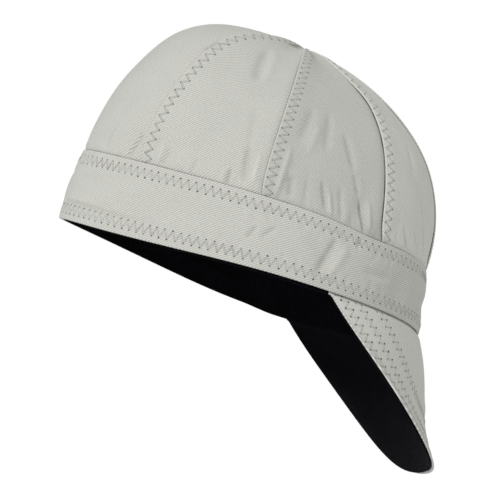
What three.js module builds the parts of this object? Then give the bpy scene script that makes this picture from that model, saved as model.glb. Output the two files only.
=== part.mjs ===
// A soft welding cap: eight canvas panels on a deep band, with a short bill that hangs down.
// Millimetres, +Z up. The origin is the middle of the head opening, at the rim's height.
// The bill points towards -Y. Turns are angles round the cap, 0 at the bill's middle.
import * as THREE from "three";

// The head opening at the rim, outside the band
const RIM_LENGTH = 206;
const RIM_WIDTH = 158;
const RIM_SADDLE = 1.1; // how far the rim's ends stand above its sides
const RIM_TWIST = 2.2; // how far the soft rim is twisted out of a plane
const RIM_TILT = 1.05; // how far the middle of one side lies higher, and of the other lower

// The band's top edge
const BAND_HEIGHT = 37.7;
const BAND_TOP_FRONT = 97; // from the cap's axis to the edge over the bill
const BAND_TOP_BACK = 102;
const BAND_TOP_WIDTH = 151;
const BAND_TOP_DROP = 3; // the edge lies lower over the bill and higher at the back
const BAND_TOP_TWIST = 1.8;
const BAND_BELLY = 1.4; // how far the band swells between its edges

// The crown
const CROWN_HEIGHT = 95.3; // from the band's top edge to the apex
const APEX_BACK = 4; // the apex lies this far behind the cap's axis
const CROWN_SWAY = 2.7; // its top stands this much higher at the back
const FRONT_SWAY = 1.6; // and this much lower in front
const SWAY_MIDDLE = 4; // the sway turns over this far in front of the cap's axis
const SWAY_RUN = 52; // and grows over about this length
const APEX_HOLE = 1.2; // the panels' tips stop at this distance from the apex
const PANELS = 8;
const SEAM_SHIFT = 9.2; // the seams lie this far round from the bill's middle, along the band
const LAP_WIDTH = 6; // a panel's edge lies this far over its neighbour's
const PANEL_BOW = 1.6; // a panel's middle lies this far inside a round crown

// The bill
const BILL_LENGTH = 74.4;
const BILL_WAVE = 1.28; // it swells this far out below the band, and bends in as far above its tip
const BILL_FLARE = 1.6; // its tip turns this far back outwards
const BILL_HALF_ARC_ANGLE = 66.6; // degrees of the rim to each side of its middle
const BILL_TURN_ANGLE = 0.7; // its middle is turned this far round the cap
const BILL_MIDDLE_ANGLE = 68.2; // degrees below level at its middle
const BILL_CORNER_ANGLE = 42.2; // and at its corners
const BILL_TWIST_ANGLE = 1.4; // one corner hangs this much steeper, and the other this much less
const BILL_TUCK = 6; // its root goes up this far inside the band

// Cloth
const BAND_WALL = 1.4;
const CROWN_WALL = 1;
const BILL_WALL = 1;
const UNDERSIDE_WALL = 1;
const LINING_WALL = 1;
const LAYER_GAP = 0.3; // between two layers of cloth
const PANEL_GAP = 0.4; // between two panels' edges inside the band
const CROWN_STEP = 0.3; // the crown's face lies this far inside the band's face
const CROWN_TUCK = 9; // the crown's lower edge goes down this far inside the band
const LINING_HEM = 1.2; // the lining stops this far short of each edge of the band
const FOLD_DEPTH = 1.6; // the deepest crease

// Shape numbers without a unit. egg widens the bill end, square flattens or fills the sides
const RIM_FORM = { egg: 0.2, square: -0.038 };
const BAND_TOP_FORM = { egg: 0.17, square: -0.028 };
// A meridian is (reach/full)^reachPower + (rise/full)^risePower = 1
const BACK_MERIDIAN = { risePower: 1.9, reachPower: 3.68 };
const SIDE_MERIDIAN = { risePower: 1.85, reachPower: 1.8 };
const FRONT_MERIDIAN = { risePower: 2.17, reachPower: 1.95 };
// The bill's outline is (turn/arc)^turnPower + (length/full)^lengthPower = 1
const BILL_FORM = { turnPower: 3.47, lengthPower: 2.2, forward: 4.85 };

// Creases of the crown. turn and lean are degrees, at is the share of the meridian where the middle lies,
// long and wide are shares of CROWN_HEIGHT, and deep is a share of FOLD_DEPTH
const CROWN_CREASES = [
  { turn: -102, at: 0.56, lean: 78, long: 0.26, wide: 0.11, deep: 0.9 },
  { turn: -140, at: 0.07, lean: 8, long: 0.15, wide: 0.05, deep: 0.7 },
  { turn: -102, at: 0.06, lean: -20, long: 0.11, wide: 0.05, deep: 0.7 },
  { turn: -61, at: 0.08, lean: 6, long: 0.14, wide: 0.05, deep: 0.8 },
  { turn: -71, at: 0.07, lean: -10, long: 0.1, wide: 0.05, deep: 0.6 },
  { turn: -21, at: 0.18, lean: -38, long: 0.3, wide: 0.07, deep: 1 },
  { turn: 24, at: 0.12, lean: 12, long: 0.2, wide: 0.06, deep: 0.8 },
  { turn: 68, at: 0.1, lean: -8, long: 0.16, wide: 0.06, deep: 0.8 },
  { turn: 108, at: 0.5, lean: -70, long: 0.24, wide: 0.11, deep: 0.8 },
  { turn: 141, at: 0.09, lean: 10, long: 0.16, wide: 0.06, deep: 0.8 },
];

// Creases of the band. at, long and wide are shares of BAND_HEIGHT, and deep is a share of FOLD_DEPTH
const BAND_CREASES = [
  { turn: -148, at: 0.66, lean: 84, long: 0.5, wide: 0.15, deep: 0.8 },
  { turn: -144, at: 0.27, lean: 88, long: 0.9, wide: 0.12, deep: 0.5 },
  { turn: -71, at: 0.45, lean: -38, long: 0.36, wide: 0.13, deep: 0.6 },
  { turn: -39, at: 0.45, lean: 30, long: 0.3, wide: 0.2, deep: 0.8 },
  { turn: -4, at: 0.42, lean: 90, long: 0.8, wide: 0.18, deep: 1.1 },
  { turn: 36, at: 0.5, lean: -20, long: 0.34, wide: 0.16, deep: 0.6 },
  { turn: 96, at: 0.4, lean: 60, long: 0.45, wide: 0.16, deep: 0.6 },
  { turn: 150, at: 0.6, lean: 80, long: 0.5, wide: 0.16, deep: 0.7 },
];

// How finely the cloth is faceted
const BAND_COLUMNS = 84;
const BAND_ROWS = 5;
const LINING_ROWS = 3;
const PANEL_FREE_COLUMNS = 7;
const PANEL_FREE_ROWS = 11;
const BILL_COLUMNS = 26;
const BILL_ROWS = 5;
const MERIDIAN_STEPS = 96;

const RADIAN = Math.PI / 180;
const MIDDLE_LAYER = BAND_WALL + LAYER_GAP;
const LINING_LAYER = MIDDLE_LAYER + Math.max(CROWN_WALL, BILL_WALL) + LAYER_GAP;
const UNDERSIDE_LAYER = BILL_WALL + LAYER_GAP;
const LAP_RISE = CROWN_WALL + LAYER_GAP;

// An egg-shaped loop round the cap's axis
function loopPoint(turn, front, back, width, form) {
  const reach = (front + back) / 2;
  const middle = (back - front) / 2;
  const swell = 1 + form.egg * Math.cos(turn) + form.square * Math.cos(2 * turn);
  return new THREE.Vector3((width / 2) * Math.sin(turn) * swell, middle - reach * Math.cos(turn), 0);
}

function rimPoint(turn) {
  const point = loopPoint(turn, RIM_LENGTH / 2, RIM_LENGTH / 2, RIM_WIDTH, RIM_FORM);
  const soft = RIM_SADDLE * Math.cos(2 * turn) - RIM_TWIST * Math.sin(2 * turn);
  point.z = soft - RIM_TILT * Math.sin(turn) ** 9;
  return point;
}

// The band's top edge stands this far from its mean height
function bandTopSway(turn) {
  return -BAND_TOP_DROP * Math.cos(turn) - BAND_TOP_TWIST * Math.sin(2 * turn);
}

function bandTopPoint(turn) {
  const point = loopPoint(turn, BAND_TOP_FRONT, BAND_TOP_BACK, BAND_TOP_WIDTH, BAND_TOP_FORM);
  point.z = BAND_HEIGHT + bandTopSway(turn);
  return point;
}

// share is 0 at the rim and 1 at the band's top edge
function bandPoint(turn, share) {
  const low = rimPoint(turn);
  const point = low.clone().lerp(bandTopPoint(turn), share);
  const belly = BAND_BELLY * 4 * share * (1 - share);
  const out = new THREE.Vector3(point.x, point.y, 0).normalize();
  return point.addScaledVector(out, belly);
}

// The powers of the meridian at one turn, blended from the back's, the side's and the front's
function meridianForm(turn) {
  const along = Math.cos(turn);
  const end = along > 0 ? FRONT_MERIDIAN : BACK_MERIDIAN;
  return {
    risePower: THREE.MathUtils.lerp(SIDE_MERIDIAN.risePower, end.risePower, along * along),
    reachPower: THREE.MathUtils.lerp(SIDE_MERIDIAN.reachPower, end.reachPower, along * along),
  };
}

// A point of the crown where the meridian's reach and rise are given as shares of their full size
function crownPointAt(turn, reach, rise) {
  const narrowing = { egg: BAND_TOP_FORM.egg * (1 - rise), square: BAND_TOP_FORM.square * (1 - rise) };
  const foot = loopPoint(turn, BAND_TOP_FRONT, BAND_TOP_BACK, BAND_TOP_WIDTH, narrowing);
  const x = foot.x * reach;
  const y = APEX_BACK * (1 - reach) + foot.y * reach;
  const z = BAND_HEIGHT + CROWN_HEIGHT * rise + bandTopSway(turn) * (1 - rise) ** 2;
  const lean = Math.sin(THREE.MathUtils.clamp((y + SWAY_MIDDLE) / SWAY_RUN, -Math.PI / 2, Math.PI / 2));
  const sway = lean * (lean > 0 ? CROWN_SWAY : FRONT_SWAY);
  return new THREE.Vector3(x, y, z + sway * THREE.MathUtils.smoothstep(rise, 0.55, 0.85));
}

// A meridian as points at even steps of a quarter turn, with the length of cloth up to each
function meridian(turn) {
  const form = meridianForm(turn);
  const stops = [];
  let length = 0;
  for (let i = 0; i <= MERIDIAN_STEPS; i++) {
    const climb = (Math.PI / 2) * (i / MERIDIAN_STEPS);
    const reach = Math.max(Math.cos(climb), 0) ** (2 / form.reachPower);
    const rise = Math.sin(climb) ** (2 / form.risePower);
    const point = crownPointAt(turn, reach, rise);
    if (i > 0) length += point.distanceTo(stops[i - 1].point);
    stops.push({ point, length });
  }
  return stops;
}

const meridians = new Map();
function meridianOf(turn) {
  if (!meridians.has(turn)) meridians.set(turn, meridian(turn));
  return meridians.get(turn);
}

function meridianLength(turn) {
  return meridianOf(turn)[MERIDIAN_STEPS].length;
}

// share is 0 at the band's top edge and 1 at the apex, measured along the cloth
function crownPoint(turn, share) {
  const stops = meridianOf(turn);
  const wanted = share * stops[MERIDIAN_STEPS].length;
  const next = Math.max(1, stops.findIndex((stop) => stop.length >= wanted - 1e-9));
  const from = stops[next - 1];
  const to = stops[next];
  const part = THREE.MathUtils.clamp((wanted - from.length) / (to.length - from.length), 0, 1);
  return from.point.clone().lerp(to.point, part);
}

// The outward direction of a surface given by turn and share
function outward(surface, turn, share) {
  const step = 1e-3;
  const low = Math.max(share - step, 0);
  const high = Math.min(share + step, 1);
  const around = surface(turn + step, share).sub(surface(turn - step, share));
  const up = surface(turn, high).sub(surface(turn, low));
  return around.cross(up).normalize();
}

// How much cloth lies in one radian of turn
function clothPerTurn(surface, turn, share) {
  const step = 1e-3;
  return surface(turn + step, share).distanceTo(surface(turn - step, share)) / (2 * step);
}

// The depth of all creases of a table at one place
function creaseDepth(creases, surface, turn, share, height, size) {
  let depth = 0;
  for (const crease of creases) {
    const away = Math.atan2(Math.sin(turn - crease.turn * RADIAN), Math.cos(turn - crease.turn * RADIAN));
    if (Math.abs(away) > 1) continue;
    const round = away * clothPerTurn(surface, turn, share);
    const climb = (share - crease.at) * height;
    const lean = crease.lean * RADIAN;
    const along = climb * Math.cos(lean) + round * Math.sin(lean);
    const across = round * Math.cos(lean) - climb * Math.sin(lean);
    const reach = (along / (crease.long * size)) ** 2 + (across / (crease.wide * size)) ** 2;
    depth += crease.deep * FOLD_DEPTH * Math.exp(-reach);
  }
  return depth;
}

function bandLayerPoint(turn, share, inset) {
  const edgeFade = Math.min(1, 8 * share, 8 * (1 - share));
  const crease = edgeFade * creaseDepth(BAND_CREASES, bandPoint, turn, share, BAND_HEIGHT, BAND_HEIGHT);
  return bandPoint(turn, share).addScaledVector(outward(bandPoint, turn, share), -inset - crease);
}

// inset counts inwards from the crown's face. Near the band the crown goes in under the band's edge
function crownLayerPoint(turn, share, inset) {
  const length = meridianLength(turn);
  const climb = THREE.MathUtils.clamp((share * length) / (0.36 * CROWN_TUCK), 0, 1);
  const step = THREE.MathUtils.lerp(MIDDLE_LAYER, CROWN_STEP, climb);
  const crease = climb * creaseDepth(CROWN_CREASES, crownPoint, turn, share, length, CROWN_HEIGHT);
  return crownPoint(turn, share).addScaledVector(outward(crownPoint, turn, share), -step - inset - crease);
}

// A closed wall between an outer and an inner grid of points. Grids are rows of points, the columns run
// round the cap by rising turn and the rows run upwards. A ring joins its last column to its first.
function wallGeometry(outer, inner, ring = false) {
  const rows = outer.length;
  const columns = outer[0].length;
  const positions = [];
  for (const grid of [outer, inner]) {
    for (const row of grid) {
      for (const point of row) positions.push(point.x, point.y, point.z);
    }
  }
  const out = (row, column) => row * columns + (column % columns);
  const within = (row, column) => rows * columns + out(row, column);
  const faces = [];
  const quad = (a, b, c, d) => faces.push(a, b, c, a, c, d);
  const spans = ring ? columns : columns - 1;
  for (let column = 0; column < spans; column++) {
    const next = column + 1;
    for (let row = 0; row < rows - 1; row++) {
      quad(out(row, column), out(row, next), out(row + 1, next), out(row + 1, column));
      // the inner face is split along the same diagonal, so that nested walls keep their gap
      const up = row + 1;
      quad(within(row, column), within(up, column), within(up, next), within(row, next));
    }
    const top = rows - 1;
    quad(within(0, column), within(0, next), out(0, next), out(0, column));
    quad(out(top, column), out(top, next), within(top, next), within(top, column));
  }
  if (!ring) {
    const last = columns - 1;
    for (let row = 0; row < rows - 1; row++) {
      quad(within(row, 0), out(row, 0), out(row + 1, 0), within(row + 1, 0));
      quad(out(row, last), within(row, last), within(row + 1, last), out(row + 1, last));
    }
  }
  const geometry = new THREE.BufferGeometry();
  geometry.setAttribute("position", new THREE.Float32BufferAttribute(positions, 3));
  geometry.setIndex(faces);
  geometry.computeVertexNormals();
  return geometry;
}

function steps(from, to, count) {
  return Array.from({ length: count + 1 }, (_, i) => from + ((to - from) * i) / count);
}

function sumOfSpans(points) {
  return points.slice(1).reduce((sum, point, i) => sum + point.distanceTo(points[i]), 0);
}

// The turn that lies a given length round the band's top edge from the bill's middle
function turnAtLength(length) {
  const fine = 720;
  const turns = steps(0, 2 * Math.PI, fine);
  const points = turns.map(bandTopPoint);
  const around = sumOfSpans(points);
  let left = ((length % around) + around) % around;
  for (let i = 0; i < fine; i++) {
    const span = points[i].distanceTo(points[i + 1]);
    if (left <= span) return THREE.MathUtils.lerp(turns[i], turns[i + 1], left / span);
    left -= span;
  }
  return 2 * Math.PI;
}

// The band and its lining
function ringWall(surface, lowShare, highShare, rows, inset, wall) {
  const turns = steps(0, 2 * Math.PI, BAND_COLUMNS).slice(0, BAND_COLUMNS);
  const grid = (depth) =>
    steps(lowShare, highShare, rows).map((share) => turns.map((turn) => surface(turn, share, depth)));
  return wallGeometry(grid(inset), grid(inset + wall), true);
}

function bandGeometry() {
  return ringWall(bandLayerPoint, 0, 1, BAND_ROWS, 0, BAND_WALL);
}

function liningGeometry() {
  const hem = LINING_HEM / BAND_HEIGHT;
  return ringWall(bandLayerPoint, hem, 1 - hem, LINING_ROWS, LINING_LAYER, LINING_WALL);
}

// One crown panel between two seams. Its low-turn edge is folded over the neighbour, and its high-turn edge
// runs on under the next panel. Inside the band the edges meet side by side.
function panelGeometry(lowSeam, highSeam) {
  const outer = [];
  const inner = [];
  const length = meridianLength(Math.PI / 2); // all panels have their rows at the same shares
  const riseEnd = 0.36 * CROWN_TUCK;
  const lapEnd = riseEnd + LAP_WIDTH;
  const topShare = 1 - APEX_HOLE / length;

  // A row's columns are turns. Lengths of cloth become turns by the seam that they belong to.
  const addRow = (surface, share, raised, lapped) => {
    const lowRate = clothPerTurn(surface, lowSeam, share);
    const highRate = clothPerTurn(surface, highSeam, share);
    const room = (highSeam - lowSeam) * Math.min(lowRate, highRate);
    const gap = Math.min(PANEL_GAP, 0.2 * room);
    const lap = Math.min(LAP_WIDTH, 0.22 * room);
    const clear = 0.12 * lap;
    const fall = 0.4 * lap;
    const columns = [
      { turn: lowSeam, rise: raised },
      { turn: lowSeam + (lap + clear) / lowRate, rise: raised },
    ];
    const flatFrom = columns[1].turn;
    const freeFrom = flatFrom + fall / lowRate;
    const freeTo = highSeam - gap / highRate;
    const bow = (PANEL_BOW / LAP_RISE) * lapped * Math.min(1, (1 - share) / 0.12);
    for (const turn of steps(freeFrom, freeTo, PANEL_FREE_COLUMNS)) {
      const part = (turn - flatFrom) / (freeTo - flatFrom);
      columns.push({ turn, rise: -4 * bow * part * (1 - part) });
    }
    columns.push({ turn: freeTo + (gap * 0.5 + lapped * lap) / highRate, rise: 0 });
    const point = ({ turn, rise }, depth) =>
      surface === bandPoint
        ? bandLayerPoint(turn, share, MIDDLE_LAYER + depth)
        : crownLayerPoint(turn, share, depth - rise * LAP_RISE);
    outer.push(columns.map((column) => point(column, 0)));
    inner.push(columns.map((column) => point(column, CROWN_WALL)));
  };

  addRow(bandPoint, 1 - CROWN_TUCK / BAND_HEIGHT, 0, 0);
  addRow(crownPoint, 0, 0, 0);
  addRow(crownPoint, riseEnd / length, 1, 0);
  for (const share of steps(lapEnd / length, topShare, PANEL_FREE_ROWS)) addRow(crownPoint, share, 1, 1);
  return wallGeometry(outer, inner);
}

// The bill. along is the distance from the rim towards the bill's edge
function billDirection(turn) {
  const step = 1e-3;
  const tangent = rimPoint(turn + step).sub(rimPoint(turn - step));
  const outwards = new THREE.Vector3(tangent.y, -tangent.x, 0).normalize();
  outwards.y -= BILL_FORM.forward;
  outwards.normalize();
  const side = turn / (BILL_HALF_ARC_ANGLE * RADIAN) - BILL_TURN_ANGLE / BILL_HALF_ARC_ANGLE;
  const level = THREE.MathUtils.lerp(BILL_MIDDLE_ANGLE, BILL_CORNER_ANGLE, side * side);
  const droop = (level - BILL_TWIST_ANGLE * side * Math.abs(side)) * RADIAN;
  outwards.multiplyScalar(Math.cos(droop));
  outwards.z = -Math.sin(droop);
  return outwards;
}

function billPoint(turn, along) {
  return rimPoint(turn).addScaledVector(billDirection(turn), along);
}

// The wall goes inwards from the bill's face, which comes out from behind the band. length is the bill's
// full length at this turn
function billLayerPoint(turn, along, length, inset) {
  const step = 1e-3;
  const around = billPoint(turn + step, along).sub(billPoint(turn - step, along));
  const face = billDirection(turn).cross(around).normalize();
  const clear = THREE.MathUtils.clamp(along / (1.5 * BILL_TUCK), 0, 1);
  const part = along / length;
  const wave = BILL_WAVE * Math.sin(2 * Math.PI * part) + BILL_FLARE * part ** 4;
  const depth = inset + MIDDLE_LAYER * (1 - clear) - (wave * length) / BILL_LENGTH;
  return billPoint(turn, along).addScaledVector(face, -depth);
}

// Columns across the bill, closer together towards its corners: turn and length from rim to edge
function billColumns() {
  const end = 0.96; // the outline starts at a short side edge of a few millimetres
  return steps(-end, end, BILL_COLUMNS).map((place) => {
    const side = Math.sin((Math.PI / 2) * place);
    const length = (1 - Math.abs(side) ** BILL_FORM.turnPower) ** (1 / BILL_FORM.lengthPower);
    return { turn: (BILL_TURN_ANGLE + side * BILL_HALF_ARC_ANGLE) * RADIAN, length: length * BILL_LENGTH };
  });
}

// Rows run upwards, so the bill's edge comes first. A tuck adds a row inside the band
function billGeometry(inset, wall, tuck) {
  const columns = billColumns();
  const grid = (depth) => {
    const rows = steps(1, 0, BILL_ROWS).map((share) =>
      columns.map(({ turn, length }) => billLayerPoint(turn, share * length, length, depth)),
    );
    if (tuck > 0) {
      const share = tuck / BAND_HEIGHT;
      rows.push(columns.map(({ turn }) => bandLayerPoint(turn, share, MIDDLE_LAYER + depth)));
    }
    return rows;
  };
  return wallGeometry(grid(inset), grid(inset + wall));
}

// Materials: light warm-grey canvas and near-black lining cloth
const canvas = new THREE.MeshStandardMaterial({ color: 0xc9c8c0, roughness: 0.92, metalness: 0 });
const black = new THREE.MeshStandardMaterial({ color: 0x1a1a1e, roughness: 0.85, metalness: 0 });

const cap = new THREE.Group();
function piece(name, geometry, material) {
  const mesh = new THREE.Mesh(geometry, material);
  mesh.name = name;
  cap.add(mesh);
}

piece("band", bandGeometry(), canvas);
piece("band_lining", liningGeometry(), black);

const around = sumOfSpans(steps(0, 2 * Math.PI, 720).map(bandTopPoint));
for (let panel = 0; panel < PANELS; panel++) {
  const lowSeam = turnAtLength((around * panel) / PANELS - SEAM_SHIFT);
  const highSeam = turnAtLength((around * (panel + 1)) / PANELS - SEAM_SHIFT);
  const wrapped = highSeam > lowSeam ? highSeam : highSeam + 2 * Math.PI;
  piece(`crown_panel_${panel + 1}`, panelGeometry(lowSeam, wrapped), canvas);
}

piece("bill_top", billGeometry(0, BILL_WALL, BILL_TUCK), canvas);
piece("bill_underside", billGeometry(UNDERSIDE_LAYER, UNDERSIDE_WALL, 0), black);

export default cap;
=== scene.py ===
import math

import bpy
import numpy as np
from bpy.props import FloatProperty, FloatVectorProperty, PointerProperty
from mathutils import Matrix, Vector, noise


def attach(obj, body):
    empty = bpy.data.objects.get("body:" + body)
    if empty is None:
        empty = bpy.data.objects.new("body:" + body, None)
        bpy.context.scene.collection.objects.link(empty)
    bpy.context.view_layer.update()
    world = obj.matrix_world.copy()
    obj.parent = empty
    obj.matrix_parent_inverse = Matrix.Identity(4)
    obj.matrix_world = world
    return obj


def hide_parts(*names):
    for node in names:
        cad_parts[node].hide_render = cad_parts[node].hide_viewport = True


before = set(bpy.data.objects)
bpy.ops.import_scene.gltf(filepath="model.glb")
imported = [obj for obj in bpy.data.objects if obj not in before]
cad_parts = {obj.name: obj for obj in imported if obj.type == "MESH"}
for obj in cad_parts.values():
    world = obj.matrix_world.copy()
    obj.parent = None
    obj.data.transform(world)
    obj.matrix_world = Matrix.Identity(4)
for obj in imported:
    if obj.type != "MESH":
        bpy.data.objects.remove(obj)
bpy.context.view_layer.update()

bl_info = {
    "name": "Welding cap",
    "version": (1, 0, 0),
    "blender": (4, 5, 0),
    "location": "View3D > Sidebar > Cap",
    "description": "Makes a soft welding cap of lapped canvas panels with zigzag seams",
    "category": "Add Mesh",
}

MM = 1000.0

# Shape numbers without a unit, as the solids have them. Of a loop, egg and square are how much wider
# it is towards the bill and towards its two ends. Of a meridian, rise and reach are powers.
RIM_FORM = {"egg": 0.2, "square": -0.038}
BAND_TOP_FORM = {"egg": 0.17, "square": -0.028}
BACK_MERIDIAN = {"rise": 1.9, "reach": 3.68}
SIDE_MERIDIAN = {"rise": 1.85, "reach": 1.8}
FRONT_MERIDIAN = {"rise": 2.17, "reach": 1.95}
BILL_TURN_POWER = 3.47  # how square the bill's outline is at its corners
BILL_LENGTH_POWER = 2.2  # how blunt its tip is
BILL_FORWARD = 4.85  # how far its sides are turned forwards
RIM_TILT_POWER = 9  # keeps the rim's tilt to the middle of its sides
SWAY_FROM, SWAY_RUN = 4.0, 52.0  # where the crown's sway begins in front of the axis, and its run, in mm
SWAY_RISE = 0.55, 0.85  # shares of the crown's height between which the sway sets in
SAG_PLACE, SAG_WIDTH = -56.0, 13.0  # the middle and the width of the band edge's sag, in degrees
ANGLES = ("bill_half_arc", "bill_turn", "bill_middle_droop", "bill_corner_droop", "bill_twist")
PANELS = 8
# For each panel its tone, partly its own and partly painted light (the eighth is painted lighter, as if
# lit from above and in front), how dark the gaps of its weave are, how dark the painted shade is along its
# neighbour's fold with the height in mm at which that fades out, and how bright the painted highlight,
# with a little wear, is on its own folded edge
PANEL_LOOKS = [
    (1.0, 0.72, (0.6, 104.0), 0.4),
    (0.98, 0.72, (0.5, 104.0), 0.4),
    (1.0, 0.72, (0.6, 104.0), 0.4),
    (0.97, 0.72, (0.4, 104.0), 0.4),
    (0.99, 0.72, (0.12, 104.0), 0.4),
    (1.0, 0.72, (0.3, 104.0), 0.4),
    (0.88, 0.5, (0.75, 96.0), 0.75),
    (1.1, 0.45, (0.12, 104.0), 0.15),
]
# How far each panel's folded edge is turned at the band, above it, and at the apex, in degrees
SEAM_BENDS = [
    (0, -1, -5),
    (0, -1, 0),
    (0.5, -1, 0),
    (0, -1, 0),
    (0, -1, 4),
    (0, -2.3, 7),
    (0.4, -1, -2),
    (2, -1.4, -15),
]
TOP_BEND = 74, 120  # heights in mm between which a seam bends over to its place at the apex
TOP_FLAT = 78, 104  # heights in mm between which the folds and dips along the seams flatten
# By how much of its inset the bill's black layer reaches further out on the far side, and less far
# out at the tip
BLACK_EDGE = {"far": 0.4, "tip": 0.9}

# The two lines of needle holes of each zigzag row, in mm: above the rim on the band, from the folded
# edge on a panel, and from the bill's edge on the bill
BAND_ROWS = [(3.2, 7.9), (30.2, 34.6)]
SEAM_ROW = (1.7, 5.9)
BILL_ROWS = [(3.0, 6.9), (11.3, 15.0), (22.7, 27.2)]
BAND_GRAIN = 0.485, -0.767  # the band's twill ribs per mm round it and up it
LINING_YARN = 0.7  # from yarn to yarn in the black cloth, in mm
RIM_ROLL = 0.45  # half the thickness by which the band's two edges are rounded, in mm
PUCKER_RATE = 85.0  # the bill's mm per radian, for its puckers

# Creases: turn and lean in degrees, at, long and wide and deep. On the crown, at is a share of the
# meridian, and on the band a share of its height. long and wide are shares of that height.
CROWN_CREASES = [
    (-102, 0.56, 78, 0.26, 0.11, 0.9),
    (-140, 0.07, 8, 0.15, 0.05, 0.7),
    (-102, 0.06, -20, 0.11, 0.05, 0.7),
    (-61, 0.08, 6, 0.14, 0.05, 0.8),
    (-71, 0.07, -10, 0.1, 0.05, 0.6),
    (-21, 0.18, -38, 0.3, 0.07, 1),
    (24, 0.12, 12, 0.2, 0.06, 0.8),
    (68, 0.1, -8, 0.16, 0.06, 0.8),
    (108, 0.5, -70, 0.24, 0.11, 0.8),
    (141, 0.09, 10, 0.16, 0.06, 0.8),
]
# Puckers: turn in degrees and height in mm at both ends, then width in mm, and depth as a share of
# pucker_depth, below 0 for a ridge. Heights count from the band's top edge on the crown, from the
# rim on the band, and from the rim downwards on the bill
CROWN_PUCKERS = [
    (-137.3, 18.5, -140.6, -1.5, 0.8, 1.25),
    (-139.0, 18.0, -142.6, -1.0, 1.2, -0.5),
    (-129.8, 17.0, -129.6, 8.0, 1.0, 0.55),
    (-127.6, 14.0, -127.2, -1.0, 1.2, -0.7),
    (-125.2, 12.5, -125.0, -1.0, 1.0, 0.75),
    (-115.6, 12.0, -114.6, -1.0, 1.0, 0.6),
    (-117.4, 10.0, -116.4, -1.0, 1.3, -0.4),
    (-104.0, 10.5, -103.4, -1.5, 1.1, 1.3),
    (-105.8, 9.0, -105.2, -1.0, 1.2, -0.5),
    (-101.2, 26.0, -98.8, 2.5, 2.0, 1.35),
    (-103.6, 48.0, -101.0, 24.0, 2.6, 0.7),
    (-96.8, 22.0, -96.4, 3.0, 1.8, -0.8),
    (-115.0, 96.0, -108.8, 64.0, 3.0, 1.2),
    (-110.6, 96.0, -105.6, 66.0, 3.0, -0.6),
    (-134.9, 83.5, -137.0, 72.0, 1.5, 1.0),
    (-83.0, 61.0, -86.2, 35.0, 2.6, 0.8),
    (-80.0, 52.0, -82.4, 30.0, 2.4, -0.6),
    (-76.0, 63.0, -76.6, 35.0, 2.4, 0.8),
    (-69.6, 53.0, -65.0, 30.5, 2.0, 0.9),
    (-65.0, 30.5, -62.0, 18.0, 1.6, 0.8),
    (-85.7, 16.0, -84.5, 3.0, 1.9, 1.1),
    (-88.2, 32.0, -88.6, 1.0, 1.5, -0.9),
    (-75.7, 19.5, -72.4, 3.0, 1.3, 1.0),
    (-72.6, 15.0, -70.4, 0.5, 1.4, -0.9),
    (-69.2, 20.0, -66.4, 0.5, 1.4, 0.8),
    (-61.6, 18.0, -57.2, -1.0, 0.9, 1.4),
    (-58.6, 19.0, -56.0, 2.0, 1.4, -0.8),
    (-32.5, 64.0, -32.5, 45.0, 2.2, 0.7),
    (-26.5, 36.0, -21.0, 3.0, 1.4, 1.3),
    (-40.7, 14.5, -35.6, -0.5, 0.9, 1.0),
    (-33.6, 17.0, -26.8, -0.5, 1.4, 0.7),
    (-9.0, 22.0, -8.0, 0.0, 1.3, 0.8),
    (12.0, 16.0, 14.0, 0.0, 1.2, 0.9),
    (31.0, 20.0, 29.0, -1.0, 1.1, 1.1),
    (52.0, 13.0, 54.0, 0.0, 1.0, 0.8),
    (66.0, 24.0, 69.0, 2.0, 1.8, 1.0),
    (88.0, 15.0, 90.0, -1.0, 1.0, 1.1),
    (104.0, 18.0, 101.0, 0.0, 1.4, 0.8),
    (118.0, 22.0, 121.0, 1.0, 1.7, 1.1),
    (137.0, 14.0, 135.0, -1.0, 1.0, 1.0),
    (158.0, 20.0, 161.0, 0.0, 1.5, 0.9),
    (186.0, 15.0, 184.0, -1.0, 1.0, 1.1),
    (204.0, 18.0, 207.0, 1.0, 1.5, 0.8),
]
BAND_PUCKERS = [
    (-174.0, 9.0, -122.0, 8.8, 1.1, 0.9),
    (-174.0, 6.6, -122.0, 6.4, 1.3, -0.5),
    (-176.0, 11.8, -140.0, 11.6, 1.8, -0.4),
    (-167.0, 24.6, -141.0, 25.0, 2.2, 0.6),
    (-91.3, 22.0, -93.8, 13.0, 1.2, 0.9),
    (-85.8, 24.0, -89.8, 16.0, 1.3, 0.8),
    (-67.0, 29.5, -71.8, 5.0, 2.3, 1.3),
    (-63.2, 28.5, -68.0, 6.5, 2.4, -0.7),
    (-57.0, 17.0, -44.0, 19.5, 2.6, 0.7),
    (-58.5, 35.0, -60.0, 28.0, 1.2, 0.8),
    (-118.0, 24.0, -121.0, 14.0, 2.2, 0.4),
    (25.0, 27.0, 33.0, 12.0, 1.8, 0.9),
    (60.0, 26.0, 57.0, 14.0, 1.6, 0.7),
    (84.0, 10.0, 110.0, 9.6, 0.9, 0.7),
    (126.0, 27.0, 131.0, 12.0, 1.8, 0.9),
    (150.0, 9.5, 181.0, 9.2, 0.9, 0.9),
    (160.0, 24.0, 185.0, 25.0, 1.9, 0.7),
]
BILL_PUCKERS = [(-24.0, 50.0, 20.0, 45.0, 2.6, 0.5), (-22.0, 42.0, 16.0, 38.5, 3.6, -0.4)]
BAND_CREASES = [
    (-148, 0.66, 84, 0.5, 0.15, 0.8),
    (-144, 0.27, 88, 0.9, 0.12, 0.5),
    (-71, 0.45, -38, 0.36, 0.13, 0.6),
    (-39, 0.45, 30, 0.3, 0.2, 0.8),
    (-4, 0.42, 90, 0.8, 0.18, 1.1),
    (36, 0.5, -20, 0.34, 0.16, 0.6),
    (96, 0.4, 60, 0.45, 0.16, 0.6),
    (150, 0.6, 80, 0.5, 0.16, 0.7),
]


# Sizes and colours


def length(name, description, default):
    return FloatProperty(
        name=name, description=description, default=default, min=0.0, unit="LENGTH", subtype="DISTANCE"
    )


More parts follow.
